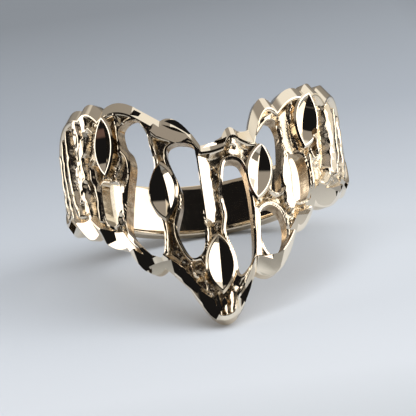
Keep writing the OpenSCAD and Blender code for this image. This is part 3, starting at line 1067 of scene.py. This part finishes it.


# Floor, in metres: half its size, the span of depths over which its painted light changes, the tones
# of that painted light (a brighter band just in front of the ring, darker towards the front and much
# darker behind), and the painted falloff that darkens them with the distance to either side
FLOOR_HALF = 1.5
FLOOR_SPAN = (-0.08, 0.12)
FLOOR_PAINTED_LIGHT = [
    (0, (0.42, 0.43, 0.45, 1)), (0.2, (0.48, 0.5, 0.52, 1)), (0.28, (0.63, 0.65, 0.69, 1)),
    (0.4, (0.58, 0.61, 0.66, 1)), (0.65, (0.36, 0.39, 0.44, 1)), (1, (0.22, 0.24, 0.27, 1)),
]
FLOOR_PAINTED_FALLOFF = [(0.024, grey(1)), (0.045, grey(0.4))]
FLOOR_ROUGHNESS = 0.6
# Sockets of a node that mixes two colours
MIX_FIRST, MIX_SECOND, MIX_RESULT = 6, 7, 2


def floor_material():
    material, tree, shader, place = new_material("floor")
    split = add(tree, "ShaderNodeSeparateXYZ")
    tree.links.new(place, split.inputs["Vector"])
    span = add(tree, "ShaderNodeMapRange")
    socket(span, "From Min", FLOOR_SPAN[0])
    socket(span, "From Max", FLOOR_SPAN[1])
    tree.links.new(split.outputs["Y"], span.inputs["Value"])
    aside = add(tree, "ShaderNodeMath", operation="ABSOLUTE")
    tree.links.new(split.outputs["X"], aside.inputs[0])
    tone = add(tree, "ShaderNodeMix", data_type="RGBA", blend_type="MULTIPLY")
    socket(tone, "Factor", 1)
    # Painted light on the floor: a bright band just in front of the ring, darker towards the front,
    # behind and to either side
    tree.links.new(ramp(tree, span.outputs["Result"], FLOOR_PAINTED_LIGHT), tone.inputs[MIX_FIRST])
    tree.links.new(ramp(tree, aside.outputs[0], FLOOR_PAINTED_FALLOFF), tone.inputs[MIX_SECOND])
    tree.links.new(tone.outputs[MIX_RESULT], shader.inputs["Base Color"])
    socket(shader, "Roughness", FLOOR_ROUGHNESS)
    return material


def add_floor():
    corners = [(-1, -1), (1, -1), (1, 1), (-1, 1)]
    points = [(x * FLOOR_HALF, y * FLOOR_HALF, 0) for x, y in corners]
    mesh = bpy.data.meshes.new("floor")
    mesh.from_pydata(points, [], [(0, 1, 2, 3)])
    mesh.materials.append(floor_material())
    floor = bpy.data.objects.new("floor", mesh)
    bpy.context.scene.collection.objects.link(floor)


# Softboxes, in metres: name, azimuth to the right of the camera, elevation, width, height,
# brightness, colour, and whether polished metal shows them
LIGHT_DISTANCE = 0.5
SOFTBOXES = [
    ("right", 81, 27, 0.57, 0.38, 1.7, (1, 0.99, 0.97), True),
    ("left", -109, 15, 0.34, 0.23, 1.75, (1, 1, 1), True),
    ("fill", 50, 62, 0.8, 0.8, 1.95, (0.93, 0.97, 1), False),
]


def add_lights():
    for name, azimuth, elevation, width, height, brightness, color, shown in SOFTBOXES:
        out = towards(azimuth, elevation)
        data = bpy.data.lights.new("light_" + name, "AREA")
        data.shape = "RECTANGLE"
        data.size, data.size_y = width, height
        data.energy = brightness * math.pi * width * height
        data.color = color
        light = bpy.data.objects.new("light_" + name, data)
        light.location = out * LIGHT_DISTANCE
        light.rotation_euler = out.to_track_quat("Z", "Y").to_euler()
        light.visible_glossy = shown
        bpy.context.scene.collection.objects.link(light)


# The studio round the ring, lighter upwards, and the cards that stand in it: span of azimuths, span
# of elevations and colour, each over the ones before it, with edges that are soft to either side
SKY = [(0, (0.2, 0.185, 0.165, 1)), (0.25, (0.29, 0.275, 0.25, 1)), (0.95, (0.33, 0.31, 0.29, 1))]
DARK = (0.009, 0.009, 0.01, 1)
CREAM = (0.93, 0.92, 0.88, 1)
BROWN = (0.13, 0.08, 0.07, 1)
CARDS = [
    ((96, 138), (0, 50), CREAM),
    ((138, 182), (27, 63), CREAM),
    ((-150, -124), (8, 45), (0.72, 0.7, 0.66, 1)),
    ((-72, 50), (4, 68), DARK),
    ((-43, -28), (29, 39), BROWN),
    ((-122, -66), (28, 58), DARK),
    ((-91, -68), (4, 30), DARK),
    ((-126, -98), (26, 44), CREAM),
    ((50, 105), (46, 68), DARK),
    ((-156, -127), (-5, 9), DARK),
]
CARD_EDGE = 2


def product(tree, a, b):
    node = add(tree, "ShaderNodeMath", operation="MULTIPLY")
    tree.links.new(a, node.inputs[0])
    tree.links.new(b, node.inputs[1])
    return node.outputs[0]


def within(tree, source, span):
    """1 where an angle lies in a span, falling to 0 over its soft edges."""
    shares = []
    for limit, sign in ((span[0], 1), (span[1], -1)):
        step = add(tree, "ShaderNodeMapRange", interpolation_type="SMOOTHSTEP")
        socket(step, "From Min", math.radians(limit - sign * CARD_EDGE))
        socket(step, "From Max", math.radians(limit + sign * CARD_EDGE))
        tree.links.new(source, step.inputs["Value"])
        shares.append(step.outputs["Result"])
    return product(tree, *shares)


def view_angles(tree):
    """Azimuth and elevation of the direction that the world is seen in, and how high it points."""
    split = add(tree, "ShaderNodeSeparateXYZ")
    tree.links.new(add(tree, "ShaderNodeTexCoord").outputs["Generated"], split.inputs["Vector"])
    elevation = add(tree, "ShaderNodeMath", operation="ARCSINE")
    tree.links.new(split.outputs["Z"], elevation.inputs[0])
    ahead = add(tree, "ShaderNodeMath", operation="MULTIPLY")
    ahead.inputs[1].default_value = -1
    tree.links.new(split.outputs["Y"], ahead.inputs[0])
    azimuth = add(tree, "ShaderNodeMath", operation="ARCTAN2")
    tree.links.new(split.outputs["X"], azimuth.inputs[0])
    tree.links.new(ahead.outputs[0], azimuth.inputs[1])
    return azimuth.outputs[0], elevation.outputs[0], split.outputs["Z"]


def add_world():
    world = bpy.data.worlds.new("studio")
    world.use_nodes = True
    bpy.context.scene.world = world
    tree = world.node_tree
    azimuth, elevation, rise = view_angles(tree)
    color = ramp(tree, rise, SKY)
    for azimuths, elevations, tone in CARDS:
        card = product(tree, within(tree, elevation, elevations), within(tree, azimuth, azimuths))
        mix = add(tree, "ShaderNodeMix", data_type="RGBA")
        tree.links.new(card, mix.inputs["Factor"])
        tree.links.new(color, mix.inputs[MIX_FIRST])
        mix.inputs[MIX_SECOND].default_value = tone
        color = mix.outputs[MIX_RESULT]
    tree.links.new(color, tree.nodes["Background"].inputs["Color"])
    bpy.context.scene.view_settings.view_transform = "Standard"


add_camera()
add_floor()
add_lights()
add_world()
gold_ring()
